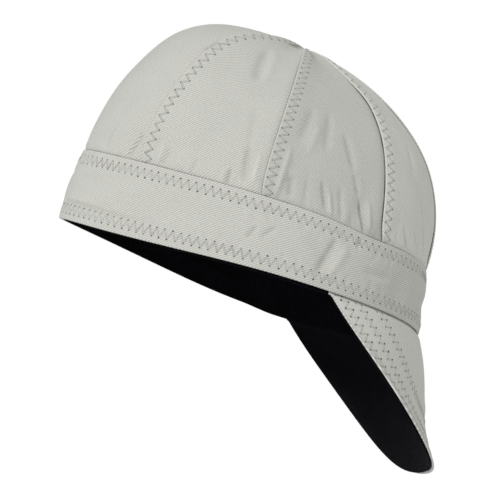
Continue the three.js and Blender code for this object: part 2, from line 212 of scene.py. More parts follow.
def angle(name, description, degrees):
    return FloatProperty(
        name=name, description=description, default=math.radians(degrees), unit="ROTATION", subtype="ANGLE"
    )


def colour(name, description, default):
    return FloatVectorProperty(
        name=name, description=description, default=default, min=0.0, max=1.0, size=3, subtype="COLOR"
    )


class CapSizes(bpy.types.PropertyGroup):
    """The cap's lengths, in metres"""

    rim_length: length("Rim length", "Head opening from bill to back", 0.206)
    rim_width: length("Rim width", "Head opening from side to side", 0.158)
    rim_saddle: length("Rim saddle", "How far the rim's ends stand above its sides", 0.0011)
    rim_twist: length("Rim twist", "How far the soft rim is twisted out of a plane", 0.0022)
    rim_tilt: length("Rim tilt", "How far one side lies higher, and the other lower", 0.00105)
    band_height: length("Band height", "From the rim to the band's top edge", 0.0377)
    band_top_front: length("Band top front", "Cap's axis to the band's top edge over the bill", 0.097)
    band_top_back: length("Band top back", "Cap's axis to the band's top edge at the back", 0.102)
    band_top_width: length("Band top width", "Band's top edge from side to side", 0.151)
    band_top_drop: length("Band top drop", "The top edge's drop over the bill", 0.003)
    band_top_twist: length("Band top twist", "The top edge's twist", 0.0018)
    top_sag: length("Top sag", "How far the top edge sags on one side of the bill", 0.0016)
    band_belly: length("Band belly", "How far the band swells between its edges", 0.0014)
    crown_height: length("Crown height", "Band's top edge to the apex", 0.0953)
    apex_back: length("Apex back", "How far the apex lies behind the cap's axis", 0.004)
    crown_sway: length("Crown sway", "How far the crown's top stands up at the back", 0.0027)
    front_sway: length("Front sway", "How far the crown's top lies lower in front", 0.0016)
    seam_shift: length("Seam shift", "The seams' place round from the bill's middle", 0.0092)
    lap_width: length("Lap width", "A panel's edge over its neighbour", 0.006)
    bill_length: length("Bill length", "From the rim to the bill's edge at its middle", 0.0744)
    bill_wave: length("Bill wave", "How far the bill swells below the band and bends in above it", 0.00128)
    bill_flare: length("Bill flare", "How far its tip turns back outwards", 0.0016)
    bill_tuck: length("Bill tuck", "The bill's root inside the band", 0.006)
    crown_tuck: length("Crown tuck", "The crown's lower edge inside the band", 0.009)
    band_wall: length("Band cloth", "Thickness of the folded band", 0.0014)
    cloth_wall: length("Panel cloth", "Thickness of a crown panel and of each layer of the bill", 0.001)
    layer_gap: length("Layer gap", "Room between two layers of cloth", 0.0003)
    crown_step: length("Crown step", "The crown's face inside the band's face", 0.0003)
    fold_depth: length("Fold depth", "The deepest soft crease", 0.0016)
    pucker_depth: length("Pucker depth", "The deepest of the sharp puckers along the seams", 0.0012)
    gather_depth: length("Gather depth", "Depth of the small scattered puckers", 0.0005)
    fold_rise: length("Fold rise", "How far a panel's folded edge stands out of the crown", 0.00045)
    panel_wall: length("Panel wall", "Thickness of a crown panel", 0.0008)
    band_edge: length("Band edge", "Thickness of the band's cloth along its top edge", 0.0007)
    seam_valley: length("Seam valley", "How far a panel dips beside its neighbour's fold", 0.0006)
    panel_bow: length("Panel bow", "How far a panel's middle lies inside a round crown", 0.0021)
    band_pitch: length("Band stitch", "Between needle holes in the band's zigzags", 0.0047)
    seam_pitch: length("Seam stitch", "Between needle holes in the crown's zigzags", 0.0049)
    bill_pitch: length("Bill stitch", "Between needle holes in the bill's zigzags", 0.005)
    thread: length("Thread", "Thickness of the thread", 0.0003)
    bill_half_arc: angle("Bill half arc", "The bill's part of the rim, to each side of its middle", 66.6)
    bill_turn: angle("Bill turn", "How far the bill's middle is turned round the cap", 0.7)
    bill_middle_droop: angle("Bill middle droop", "How far the bill hangs below level at its middle", 68.2)
    bill_corner_droop: angle("Bill corner droop", "How far it hangs below level at its corners", 42.2)
    bill_twist: angle("Bill twist", "How much steeper one corner hangs, and the other less", 1.4)


class CapLooks(bpy.types.PropertyGroup):
    """The cap's colours and the studio's light"""

    canvas: colour("Canvas", "Light warm-grey canvas", (0.7, 0.7, 0.652))
    # canvas_shade is also the base of the painted shade along the threads, beside the folds and in the
    # puckers
    canvas_shade: colour("Canvas shade", "The canvas between its threads", (0.5, 0.498, 0.458))
    thread: colour("Thread", "Sewing thread", (0.63, 0.628, 0.583))
    # Painted shade inside a needle hole
    hole: colour("Needle hole", "Inside a needle hole", (0.035, 0.033, 0.03))
    # Painted shade under a folded edge
    crevice: colour("Crevice", "Under a folded edge", (0.085, 0.083, 0.075))
    lining: colour("Lining", "Black lining cloth", (0.0022, 0.0022, 0.0032))
    key_light: FloatProperty(
        name="Key light", description="Power of the main light", default=18.0, unit="POWER"
    )
    fill_light: FloatProperty(
        name="Fill light", description="Power of the second light", default=4.8, unit="POWER"
    )
    room_light: FloatProperty(name="Room light", description="Strength of the white room", default=0.5)


# The cap's surfaces


def unit(vectors):
    """Vectors of length 1"""
    size = np.linalg.norm(vectors, axis=-1, keepdims=True)
    return vectors / np.maximum(size, 1e-12)


def mixed(low, high, part):
    return low + (high - low) * part


def eased(value, low, high):
    """0 up to low, 1 from high, and a soft slope between"""
    part = np.clip((value - low) / (high - low), 0, 1)
    return part * part * (3 - 2 * part)


def spread(*parts):
    """Runs of evenly spaced numbers, joined, each given as (from, to, count)"""
    runs = [np.linspace(low, high, count, endpoint=False) for low, high, count in parts]
    return np.concatenate([*runs, [parts[-1][1]]])


class Form:
    """The cap's surfaces as functions of arrays, in millimetres"""

    def __init__(self, sizes):
        for name in sizes.__annotations__:
            value = getattr(sizes, name)
            setattr(self, name, value if name in ANGLES else value * MM)
        self.middle_layer = self.band_wall + self.layer_gap
        self.lining_layer = self.middle_layer + self.cloth_wall + self.layer_gap
        self.turns = np.linspace(-np.pi, np.pi, 1441)
        self.shares = np.linspace(0, 1, 321)
        self.crown_table()
        self.top_table()
        self.gathers = self.scatter_gathers()

    def loop(self, turn, front, back, width, egg, square):
        """A level loop round the cap's axis"""
        swell = 1 + egg * np.cos(turn) + square * np.cos(2 * turn)
        x = width / 2 * np.sin(turn) * swell
        y = (back - front) / 2 - (front + back) / 2 * np.cos(turn)
        return np.stack([x, y, np.zeros_like(x)], axis=-1)

    def rim(self, turn):
        """The head opening's edge"""
        half = self.rim_length / 2
        point = self.loop(turn, half, half, self.rim_width, **RIM_FORM)
        point[..., 2] = self.rim_saddle * np.cos(2 * turn) - self.rim_twist * np.sin(2 * turn)
        point[..., 2] -= self.rim_tilt * np.sin(turn) ** RIM_TILT_POWER
        return point

    def top_sway(self, turn):
        return -self.band_top_drop * np.cos(turn) - self.band_top_twist * np.sin(2 * turn)

    def band_top(self, turn):
        """The band's top edge"""
        point = self.loop(
            turn, self.band_top_front, self.band_top_back, self.band_top_width, **BAND_TOP_FORM
        )
        point[..., 2] = self.band_height + self.top_sway(turn) - self.sag(turn)
        return point

    def sag(self, turn):
        """How far the band's top edge and the crown's foot sag beside the bill"""
        away = np.degrees(np.mod(turn + np.pi, 2 * np.pi) - np.pi) - SAG_PLACE
        return self.top_sag * np.exp(-((away / SAG_WIDTH) ** 2))

    def band(self, turn, share):
        """The band's face, share being the part of its height"""
        share = np.asarray(share)[..., None]
        point = mixed(self.rim(turn), self.band_top(turn), share)
        out = point * [1, 1, 0]
        return point + unit(out) * (self.band_belly * 4 * share * (1 - share))

    def crown_table(self):
        """The crown's points, outward directions and cloth per radian at even turns and shares"""
        part = (1 - np.cos(np.pi * np.linspace(0, 1, 400))) / 2
        climb = part * np.pi / 2
        turn = self.turns[:, None]
        along = np.cos(turn)
        end = {key: np.where(along > 0, FRONT_MERIDIAN[key], BACK_MERIDIAN[key]) for key in SIDE_MERIDIAN}
        power = {key: mixed(SIDE_MERIDIAN[key], end[key], along**2) for key in SIDE_MERIDIAN}
        reach = np.maximum(np.cos(climb), 0) ** (2 / power["reach"])
        rise = np.sin(climb) ** (2 / power["rise"])
        foot_x, foot_y = self.foot(turn, rise)
        x = foot_x * reach
        y = self.apex_back * (1 - reach) + foot_y * reach
        z = self.band_height + self.crown_height * rise + self.top_sway(turn) * (1 - rise) ** 2
        z -= self.sag(turn) * (1 - rise) ** 2
        lean = np.sin(np.clip((y + SWAY_FROM) / SWAY_RUN, -np.pi / 2, np.pi / 2))
        z += lean * np.where(lean > 0, self.crown_sway, self.front_sway) * eased(rise, *SWAY_RISE)
        points = np.stack([x, y, z], axis=-1)
        spans = np.linalg.norm(np.diff(points, axis=1), axis=-1)
        lengths = np.concatenate([np.zeros((len(spans), 1)), np.cumsum(spans, axis=1)], axis=1)
        self.meridian = lengths[:, -1]
        table = np.empty((len(self.turns), len(self.shares), 3))
        for row, run in enumerate(lengths):
            for axis in range(3):
                table[row, :, axis] = np.interp(self.shares * run[-1], run, points[row, :, axis])
        around = np.gradient(table, self.turns, axis=0)
        up = np.gradient(table, self.shares, axis=1)
        out = unit(np.cross(around, up))
        out[:, -1] = (0, 0, 1)
        self.crown_points = table
        self.crown_out = out
        self.crown_rate = np.linalg.norm(around, axis=-1)

    def foot(self, turn, rise):
        """The loop on which the crown stands. It gets rounder upwards"""
        swell = 1 + (1 - rise) * (
            BAND_TOP_FORM["egg"] * np.cos(turn) + BAND_TOP_FORM["square"] * np.cos(2 * turn)
        )
        x = self.band_top_width / 2 * np.sin(turn) * swell
        middle = (self.band_top_back - self.band_top_front) / 2
        y = middle - (self.band_top_back + self.band_top_front) / 2 * np.cos(turn)
        return x, y + 0 * rise

    def top_table(self):
        """Length round the band's top edge and round its middle, from the bill's middle"""
        fine = np.linspace(0, 2 * np.pi, 2881)
        self.fine_turns = fine
        self.top_run = self.run_along(self.band_top(fine))
        self.waist_run = self.run_along(self.band(fine, np.full(fine.shape, 0.5)))

    def run_along(self, points):
        """Length along a row of points, from its first"""
        spans = np.linalg.norm(np.diff(points, axis=0), axis=-1)
        return np.concatenate([[0], np.cumsum(spans)])

    def turn_at(self, run, wanted):
        around = run[-1]
        laps = np.floor(np.asarray(wanted) / around)
        return np.interp(wanted - laps * around, run, self.fine_turns) + laps * 2 * np.pi

    def look_up(self, table, turn, share):
        """A value of one of the crown's tables, between its rows"""
        across = (np.mod(turn + np.pi, 2 * np.pi)) / (2 * np.pi) * (len(self.turns) - 1)
        along = np.clip(share, 0, 1) * (len(self.shares) - 1)
        i = np.minimum(across.astype(int), len(self.turns) - 2)
        j = np.minimum(along.astype(int), len(self.shares) - 2)
        a, b = across - i, along - j
        if table.ndim == 3:
            a, b = a[..., None], b[..., None]
        low = mixed(table[i, j], table[i + 1, j], a)
        high = mixed(table[i, j + 1], table[i + 1, j + 1], a)
        return mixed(low, high, b)

    def meridian_at(self, turn):
        """Length up the crown from the band to the apex"""
        return np.interp(np.mod(turn + np.pi, 2 * np.pi) - np.pi, self.turns, self.meridian)

    def scatter_gathers(self):
        """Small puckers that run out from a sewn edge: turn, start, lean, long, wide, deep, in mm"""
        chance = np.random.default_rng(11)
        rows = {"crown": [], "band_top": [], "band_low": []}
        for name, count, reach in (("crown", 120, 11.0), ("band_top", 96, 5.5), ("band_low", 110, 5.0)):
            for place in range(count):
                turn = 2 * math.pi * (place + chance.uniform(-0.4, 0.4)) / count
                deep = chance.uniform(0.15, 1.0) ** 1.6
                rows[name].append(
                    (
                        turn,
                        chance.uniform(0.0, 2.0),
                        chance.normal(0.0, 0.3),
                        reach * chance.uniform(0.5, 1.5),
                        chance.uniform(1.0, 2.2),
                        deep,
                    )
                )
        return rows

    def gather_depth_at(self, name, turn, height, rate):
        """Depth of the scattered puckers. rate is mm of cloth per radian"""
        depth = np.zeros(np.shape(turn))
        for place, start, lean, long, wide, deep in self.gathers[name]:
            away = np.mod(turn - place + np.pi, 2 * np.pi) - np.pi
            near = np.abs(away) < 0.35
            if not near.any():
                continue
            side = away * rate
            climb = height - start
            along = climb * math.cos(lean) + side * math.sin(lean)
            across = side * math.cos(lean) - climb * math.sin(lean)
            shape = np.exp(-((along / long) ** 2) - (across / wide) ** 2)
            depth += np.where(near, deep * shape, 0)
        return depth * self.gather_depth

    def crease_depth(self, creases, turn, share, height, size, rate):
        """Depth of the soft creases of a table"""
        depth = np.zeros(np.shape(turn))
        for place, at, lean, long, wide, deep in creases:
            away = np.mod(turn - math.radians(place) + np.pi, 2 * np.pi) - np.pi
            side = away * rate
            climb = (share - at) * height
            lean = math.radians(lean)
            along = climb * math.cos(lean) + side * math.sin(lean)
            across = side * math.cos(lean) - climb * math.sin(lean)
            shape = np.exp(-((along / (long * size)) ** 2) - (across / (wide * size)) ** 2)
            depth += np.where(np.abs(away) < 1, deep * self.fold_depth * shape, 0)
        return depth

    def pucker_depth_at(self, puckers, turn, height, rate):
        """Sharp folds, each along a straight line, that fade out at their upper end"""
        depth = np.zeros(np.broadcast_shapes(np.shape(turn), np.shape(height)))
        for turn_a, high_a, turn_b, high_b, wide, deep in puckers:
            away = np.mod(turn - math.radians((turn_a + turn_b) / 2) + np.pi, 2 * np.pi) - np.pi
            if not (np.abs(away) < 0.6).any():
                continue
            half = math.radians(turn_b - turn_a) / 2 * rate
            middle = (high_a + high_b) / 2
            along_x, along_y = half, (high_b - high_a) / 2
            reach = np.maximum(along_x**2 + along_y**2, 1e-6)
            side, climb = away * rate, height - middle
            place = (side * along_x + climb * along_y) / reach
            gap = np.abs(side * along_y - climb * along_x) / np.sqrt(reach)
            ends = 1 - eased(np.abs(place), 0.45, 1.12)
            shape = np.exp(-((gap / (max(wide, 1.1) * (0.6 + 0.4 * ends))) ** 2)) * ends
            depth += np.where(np.abs(away) < 0.6, deep * shape, 0)
        return depth * self.pucker_depth

    def band_layer(self, turn, share, inset):
        """A point of the band's cloth, inset millimetres inwards from its face"""
        turn, share = np.broadcast_arrays(turn, share)
        step = 1e-3
        point = self.band(turn, share)
        around = self.band(turn + step, share) - self.band(turn - step, share)
        up = self.band(turn, share + step) - self.band(turn, share - step)
        rate = np.linalg.norm(around, axis=-1) / (2 * step)
        inside = np.clip(share, 0, 1)
        fade = np.clip(np.minimum(8 * inside, 8 * (1 - inside)), 0, 1)
        depth = fade * self.crease_depth(
            BAND_CREASES, turn, share, self.band_height, self.band_height, rate
        )
        height = share * self.band_height
        small = self.gather_depth_at("band_top", turn, self.band_height - 7 - height, rate)
        small += self.gather_depth_at("band_low", turn, height - 8, rate)
        small += self.pucker_depth_at(BAND_PUCKERS, turn, height, rate)
        depth = depth + small * np.clip(np.minimum(6 * inside, 6 * (1 - inside)), 0.15, 1)
        return point - unit(np.cross(around, up)) * (np.asarray(inset) + depth)[..., None]

    def crown_layer(self, turn, share, inset):
        """A point of the crown's cloth. Near the band it goes in under the band's edge"""
        turn, share = np.broadcast_arrays(turn, share)
        run = self.meridian_at(turn)
        climb = np.clip(share * run / (0.36 * self.crown_tuck), 0, 1)
        step = mixed(self.band_edge + self.layer_gap, self.crown_step, climb)
        rate = self.look_up(self.crown_rate, turn, share)
        depth = self.crease_depth(CROWN_CREASES, turn, share, run, self.crown_height, rate)
        depth = depth + self.gather_depth_at("crown", turn, share * run - 1.0, rate)
        depth = depth + self.pucker_depth_at(CROWN_PUCKERS, turn, share * run, rate)
        depth = mixed(0.4, 1, climb) * depth
        out = unit(self.look_up(self.crown_out, turn, share))
        return self.look_up(self.crown_points, turn, share) - out * (step + inset + depth)[..., None]

    def bill_direction(self, turn):
        """The way in which the bill hangs from the rim"""
        step = 1e-3
        tangent = self.rim(turn + step) - self.rim(turn - step)
        out = unit(np.stack([tangent[..., 1], -tangent[..., 0], 0 * turn], axis=-1))
        out[..., 1] -= BILL_FORWARD
        out = unit(out)
        side = (turn - self.bill_turn) / self.bill_half_arc
        droop = mixed(self.bill_middle_droop, self.bill_corner_droop, side**2)
        droop = (droop - self.bill_twist * side * np.abs(side))[..., None]
        return out * np.cos(droop) - np.array([0, 0, 1.0]) * np.sin(droop)

    def bill_point(self, turn, along):
        return self.rim(turn) + self.bill_direction(turn) * np.asarray(along)[..., None]

    def bill_layer(self, turn, along, inset):
        """A point of the bill, inset from its face. Its root goes up inside the band"""
        turn, along = np.broadcast_arrays(turn, along)
        step = 1e-3
        out_along = np.maximum(along, 0)
        around = self.bill_point(turn + step, out_along) - self.bill_point(turn - step, out_along)
        face = unit(np.cross(self.bill_direction(turn), around))
        clear = eased(out_along, 0, 0.45 * self.bill_tuck)
        reach = np.maximum(self.bill_reach(turn), 0.1)
        part = out_along / reach
        wave = self.bill_wave * np.sin(2 * np.pi * part) + self.bill_flare * part**4
        wave = wave * (reach / self.bill_length)
        wave = wave - self.pucker_depth_at(BILL_PUCKERS, turn, out_along, PUCKER_RATE)
        below = self.bill_point(turn, out_along)
        below = below + face * (wave - self.middle_layer * (1 - clear) - inset)[..., None]
        share = np.maximum(-along, 0) / self.band_height
        above = self.band_layer(turn, share, self.middle_layer + inset)
        return np.where((along < 0)[..., None], above, below)

    def bill_reach(self, turn):
        """The bill's length from the rim to its edge"""
        side = np.clip(np.abs(turn - self.bill_turn) / self.bill_half_arc, 0, 1)
        return self.bill_length * (1 - side**BILL_TURN_POWER) ** (1 / BILL_LENGTH_POWER)


# Meshes


def cloth_mesh(name, points, maps, ring):
    """A closed skin of cloth. points[i, j] runs round the cloth's thickness with i and along the
    piece with j. maps holds UV arrays of the same layout, one longer in j for a ring."""
    loop, run = points.shape[:2]
    nodes = np.arange(loop * run).reshape(loop, run)
    i, j = np.meshgrid(np.arange(loop), np.arange(run if ring else run - 1), indexing="ij")
    i, j = i.ravel(), j.ravel()
    up, on = (i + 1) % loop, j + 1
    faces = np.stack([nodes[i, j], nodes[i, on % run], nodes[up, on % run], nodes[up, j]], axis=1)
    corners = np.stack([[i, i, up, up], [j, on, on, j]], axis=-1).transpose(1, 0, 2)
    if not ring:
        half = loop // 2
        first = np.arange(half - 1 + loop % 2)
        far = loop - 1 - first
        for column, turned in ((0, False), (run - 1, True)):
            keep = far - 1 > first
            a, b = first[keep], far[keep]
            quad = np.stack([a, a + 1, b - 1, b], axis=1)
            quad = quad[:, ::-1] if turned else quad
            faces = np.concatenate([faces, nodes[quad, column]])
            ends = np.stack([quad, np.full(quad.shape, column)], axis=-1)
            corners = np.concatenate([corners, ends])
    flat = points.reshape(-1, 3) / MM
    a, b, c, d = (flat[faces[:, k]] for k in range(4))
    volume = (np.cross(a, b) * c).sum() + (np.cross(a, c) * d).sum()
    if volume < 0:
        faces, corners = faces[:, ::-1], corners[:, ::-1]
    mesh = bpy.data.meshes.new(name)
    mesh.from_pydata(flat.tolist(), [], faces.tolist())
    at = corners[..., 0], corners[..., 1]
    for label, (across, along) in maps.items():
        layer = mesh.uv_layers.new(name=label)
        picked = np.stack([across[at], along[at]], axis=-1)
        layer.data.foreach_set("uv", picked.astype(np.float32).ravel())
    mesh.validate()
    mesh.shade_smooth()
    piece = bpy.data.objects.new(name, mesh)
    bpy.context.scene.collection.objects.link(piece)
    return piece


def rolled(outer, inner, low_edge, high_edge, rounds=3):
    """A closed loop of cloth from an outer and an inner row of points, with its two edges rounded.
    Each edge is the vector by which its roll stands out."""
    angles = np.linspace(0, np.pi, rounds + 2)[1:-1]

    def roll(start, end, out):
        shape = (rounds,) + (1,) * (start.ndim)
        middle = (start + end) / 2
        arm = (start - end) / 2
        turn = angles.reshape(shape)
        return middle + arm * np.cos(turn) + out * np.sin(turn)

    return np.concatenate(
        [outer, roll(outer[-1], inner[-1], high_edge), inner[::-1], roll(inner[0], outer[0], low_edge)]
    )


def rolled_map(outer, rounds=3):
    """One number of a UV map for a rolled loop of cloth"""
    high = np.repeat(outer[-1:], rounds, axis=0)
    low = np.repeat(outer[:1], rounds, axis=0)
    return np.concatenate([outer, high, outer[::-1], low])


def unevenness(points, size, seed, amount):
    """Soft random swelling of cloth, in mm, for an array of points"""
    flat = points.reshape(-1, 3) / size + seed
    values = np.array([noise.noise(Vector(p)) for p in flat])
    return amount * values.reshape(points.shape[:-1])


# Materials


class Amount:
    """A number that varies over the cloth. Python's operators on it add Math nodes"""

    def __init__(self, finish, socket):
        self.finish, self.socket = finish, socket

    def maths(self, operation, *others, clamp=False):
        return self.finish.maths(operation, self, *others, clamp=clamp)

    def __add__(self, other):
        return self.maths("ADD", other)

    def __sub__(self, other):
        return self.maths("SUBTRACT", other)

    def __rsub__(self, other):
        return self.finish.maths("SUBTRACT", other, self)

    def __mul__(self, other):
        return self.maths("MULTIPLY", other)

    def __truediv__(self, other):
        return self.maths("DIVIDE", other)

    def __rtruediv__(self, other):
        return self.finish.maths("DIVIDE", other, self)

    def __pow__(self, other):
        return self.maths("POWER", other)

    __radd__ = __add__
    __rmul__ = __mul__


class Finish:
    """One material and its nodes"""

    def __init__(self, name, **fixed):
        self.material = bpy.data.materials.new(name)
        self.material.use_nodes = True
        self.tree = self.material.node_tree
        self.shader = self.tree.nodes["Principled BSDF"]
        for socket, value in fixed.items():
            self.shader.inputs[socket.replace("_", " ")].default_value = value

    def node(self, kind, settings=None, values=None):
        made = self.tree.nodes.new("ShaderNode" + kind)
        for key, value in (settings or {}).items():
            setattr(made, key, value)
        for key, value in (values or {}).items():
            self.plug(made.inputs[key], value)
        return made

    def plug(self, socket, value):
        if isinstance(value, Amount):
            value = value.socket
        if isinstance(value, bpy.types.NodeSocket):
            self.tree.links.new(value, socket)
        else:
            socket.default_value = value

    def maths(self, operation, *values, clamp=False):
        made = self.node("Math", {"operation": operation, "use_clamp": clamp}, dict(enumerate(values)))
        return Amount(self, made.outputs[0])

    def most(self, one, other):
        return self.maths("MAXIMUM", one, other)

    def sine(self, value):
        return self.maths("SINE", value)

    def size(self, value):
        return self.maths("ABSOLUTE", value)

    def from_middle(self, value):
        """The distance to the nearest whole number, signed"""
        return self.maths("FRACT", value + 0.5) - 0.5

    def ramp(self, value, low, high):
        """0 at low, 1 at high, with soft ends"""
        made = self.node(
            "MapRange",
            {"interpolation_type": "SMOOTHSTEP"},
            {"Value": value, "From Min": low, "From Max": high},
        )
        return Amount(self, made.outputs["Result"])

    def cloud(self, place, scale, detail=2.0, roughness=0.5):
        values = {"Vector": place, "Scale": scale, "Detail": detail, "Roughness": roughness}
        return Amount(self, self.node("TexNoise", None, values).outputs["Fac"])

    def stretched(self, chart, scale, degrees=0.0):
        """A chart turned and scaled along its two ways"""
        values = {"Vector": chart, "Rotation": (0, 0, math.radians(degrees)), "Scale": (*scale, 1.0)}
        return self.node("Mapping", None, values).outputs["Vector"]

    def blend(self, part, low, high):
        made = self.node("Mix", {"data_type": "RGBA"})
        self.plug(made.inputs[0], part)
        for socket, value in ((made.inputs[6], low), (made.inputs[7], high)):
            self.plug(socket, (*value, 1.0) if isinstance(value, (tuple, list)) else value)
        return made.outputs[2]

    def chart(self, label):
        """The two numbers of a UV map, in millimetres, and the map itself"""
        made = self.node("UVMap", {"uv_map": label})
        parts = self.node("SeparateXYZ", None, {"Vector": made.outputs["UV"]})
        return Amount(self, parts.outputs["X"]), Amount(self, parts.outputs["Y"]), made.outputs["UV"]

    def place(self):
        return self.node("TexCoord").outputs["Object"]

    def relief(self, height, distance, strength=1.0):
        made = self.node("Bump", None, {"Height": height, "Distance": distance, "Strength": strength})
        return made.outputs["Normal"]

    def show(self, **links):
        for socket, value in links.items():
            self.plug(self.shader.inputs[socket.replace("_", " ")], value)
        return self.material


def triple(values):
    """A colour as plain numbers"""
    return tuple(float(v) for v in values)


def stitch_marks(finish, rows, pitch, hole_size):
    """Needle holes and thread dents of zigzag rows. rows holds the heights of each row's two lines
    of holes. hole_size is a hole's width as a share. Returns (holes, dents), each from 0 to 1."""
    x, y, chart = finish.chart("stitches")
    wobble = finish.node("TexNoise", None, {"Vector": chart, "Scale": 0.23, "Detail": 1.0})
    parts = finish.node("SeparateXYZ", None, {"Vector": wobble.outputs["Color"]})
    x = x + (Amount(finish, parts.outputs["X"]) - 0.5) * 0.9
    y = y + (Amount(finish, parts.outputs["Y"]) - 0.5) * 0.5
    strength = finish.ramp(finish.cloud(chart, 0.31, 0.0), 0.34, 0.6) * 0.45 + 0.55
    holes = dents = None
    for low, high in rows:
        for line, shift in ((low, 0.0), (high, 0.5)):
            along = finish.from_middle(x / pitch + shift) * pitch
            away = y - line
            gap = (along * along + away * away) ** 0.5
            hole = 1 - finish.ramp(gap, 0.2 * hole_size, 0.55 * hole_size)
            holes = hole if holes is None else finish.most(holes, hole)
        part = (y - low) / (high - low)
        slant = pitch / 2 / math.hypot(pitch / 2, high - low)
        leg_pitch = pitch * math.sqrt(1 - slant**2)
        inside = 1 - finish.ramp(finish.size(part - 0.5), 0.46, 0.56)
        for side in (-0.5, 0.5):
            leg = finish.size(finish.from_middle(x / pitch + part * side)) * leg_pitch
            dent = (1 - finish.ramp(finish.size(leg - 0.3), 0.0, 0.32)) * inside
            dents = dent if dents is None else finish.most(dents, dent)
    return holes * strength, dents


def canvas_finish(
    name, looks, rows, pitch, edges=None, crevice=None, tone_share=1.0,
    grain_way=(0.67, -0.6), weave_share=0.72, dent_share=0.4, hole_share=0.6, hole_size=1.0,
):
    """Light canvas: a fine twill, soft mottling, and zigzag rows of needle holes.
    Its needle holes, the legs of its thread, its puckers, and the cloth beside and under a neighbour's
    fold and under the band's edge get painted shade, and its folded edges and the puckers' ridges painted
    highlight. edges are heights of the stitch map between which the cloth is away from its folded edges,
    and how bright the painted highlight, with a little wear, is there. crevice is how dark the painted
    shade is where the cloth goes in under a fold, and the height at which that fades out. tone_share is
    this cut's tone, partly its own and partly painted light, grain_way the twill's ribs per mm along and
    across it, weave_share how dark its gaps are, dent_share how dark the painted shade along the thread's
    legs is and how deep they lie in, and hole_share and hole_size how dark the painted shade in its needle
    holes is and how wide they are."""
    finish = Finish(
        name, Roughness=0.93, Sheen_Weight=0.15, Sheen_Roughness=0.6, Specular_IOR_Level=0.22
    )
    u, v, chart = finish.chart("cloth")
    object_place = finish.place()
    sway = finish.cloud(chart, 0.07, 1.0) * 1.5
    twill = finish.sine((u * grain_way[0] + v * grain_way[1] + sway) * (2 * math.pi)) * 0.5 + 0.5
    ends = finish.sine((u * 0.5 + v * 0.95 + sway) * (2 * math.pi)) * 0.5 + 0.5
    grain = finish.cloud(finish.stretched(chart, (1.6, 0.7), 38), 1.0, 1.0, 0.5)
    grain = finish.ramp(grain, 0.3, 0.7)
    weave = twill * 0.7 + grain * 0.3
    gaps = (1 - twill) * (ends * 0.6 + 0.5)
    slub = finish.cloud(chart, 0.9, 2.0, 0.65)
    broad = finish.ramp(finish.cloud(object_place, 28.0, 2.0, 0.5), 0.3, 0.7)
    patch = finish.cloud(object_place, 95.0, 2.0, 0.6)
    light = grain * 0.3 + slub * 0.5 + broad * 0.1 + patch * 0.2 + 0.15
    # Painted highlight, with a little wear, along the folded edges where they catch the light
    if edges:
        _, from_edge, _ = finish.chart("stitches")
        low_edge = 1 - finish.ramp(from_edge, 0.0, edges[0])
        fold_highlight = finish.most(low_edge, finish.ramp(from_edge, edges[1], edges[2]))
    shade, full = ([tone_share * c for c in colour] for colour in (looks.canvas_shade, looks.canvas))
    tone = finish.blend(finish.maths("ADD", light, 0.0, clamp=True), triple(shade), triple(full))
    tone = finish.blend(gaps * weave_share, tone, triple([0.62 * c for c in shade]))
    dark, bright = triple([0.42 * c for c in shade]), triple([min(1.0, 1.1 * c) for c in full])
    if edges:
        tone = finish.blend(fold_highlight * edges[3], tone, bright)
    # Painted shade in the puckers' valleys and painted highlight on their ridges
    valley, _, _ = finish.chart("folds")
    tone = finish.blend(finish.ramp(valley, 0.2, 1.6) * 0.13, tone, dark)
    tone = finish.blend(finish.ramp(valley * -1, 0.1, 1.3) * 0.3, tone, bright)
    # Painted shade: a dark line where the cloth goes in under the neighbour's fold and under the band's
    # edge, and softer shade beside the fold
    if crevice:
        to_fold, climb, _ = finish.chart("crevice")
        unevenly = finish.ramp(finish.cloud(chart, 0.12, 1.0), 0.3, 0.7) * 0.5 + 0.6
        top = 1 - finish.ramp(climb, crevice[1] - 12.0, crevice[1] + 8.0)
        fold = (1 - finish.ramp(to_fold, 0.35, 0.75)) * top * crevice[0]
        band = (1 - finish.ramp(climb, 0.2, 0.6)) * 0.5
        beside = (1 - finish.ramp(to_fold, 0.4, 3.2)) * top * min(1.0, 1.8 * crevice[0])
        near = finish.most(beside, (1 - finish.ramp(climb, 0.3, 1.8)) * 0.5)
        tone = finish.blend(near * 0.18, tone, triple([0.5 * c for c in looks.canvas_shade]))
        tone = finish.blend(finish.most(fold, band) * unevenly, tone, triple(looks.crevice))
    holes, dents = stitch_marks(finish, rows, pitch, hole_size)
    # Painted shade along the thread's legs and inside the needle holes
    tone = finish.blend(dents * dent_share, tone, triple([0.62 * c for c in looks.canvas_shade]))
    tone = finish.blend(holes * hole_share, tone, triple(looks.hole))
    bumps = weave * 0.5 + slub * 0.4 - holes * 2.6 - dents * (2.5 * dent_share)
    return finish.show(Base_Color=tone, Normal=finish.relief(bumps, 0.00022))


def lining_finish(name, looks):
    """Black cotton cloth: a plain weave, soft ripples with painted highlight along them, and a little dust
    """
    finish = Finish(name, Roughness=0.9, Specular_IOR_Level=0.05)
    u, v, chart = finish.chart("cloth")
    rib = finish.sine(u * (2 * math.pi / LINING_YARN)) * 0.5 + 0.5
    weft = finish.sine(v * (2 * math.pi / LINING_YARN)) * 0.5 + 0.5
    ripple = finish.cloud(finish.stretched(chart, (0.55, 0.05)), 1.0, 2.0)
    dust = finish.cloud(finish.place(), 60.0, 3.0, 0.6)
    base = triple(looks.lining)
    light = triple([2.4 * c for c in looks.lining])
    # Lighter where dust lies, and along the ripples as painted highlight
    tone = finish.blend(finish.ramp(dust, 0.35, 0.75) * 0.5 + ripple * 0.5, base, light)
    return finish.show(Base_Color=tone, Normal=finish.relief(rib * weft * 0.4 + ripple * 3.0, 0.0002))


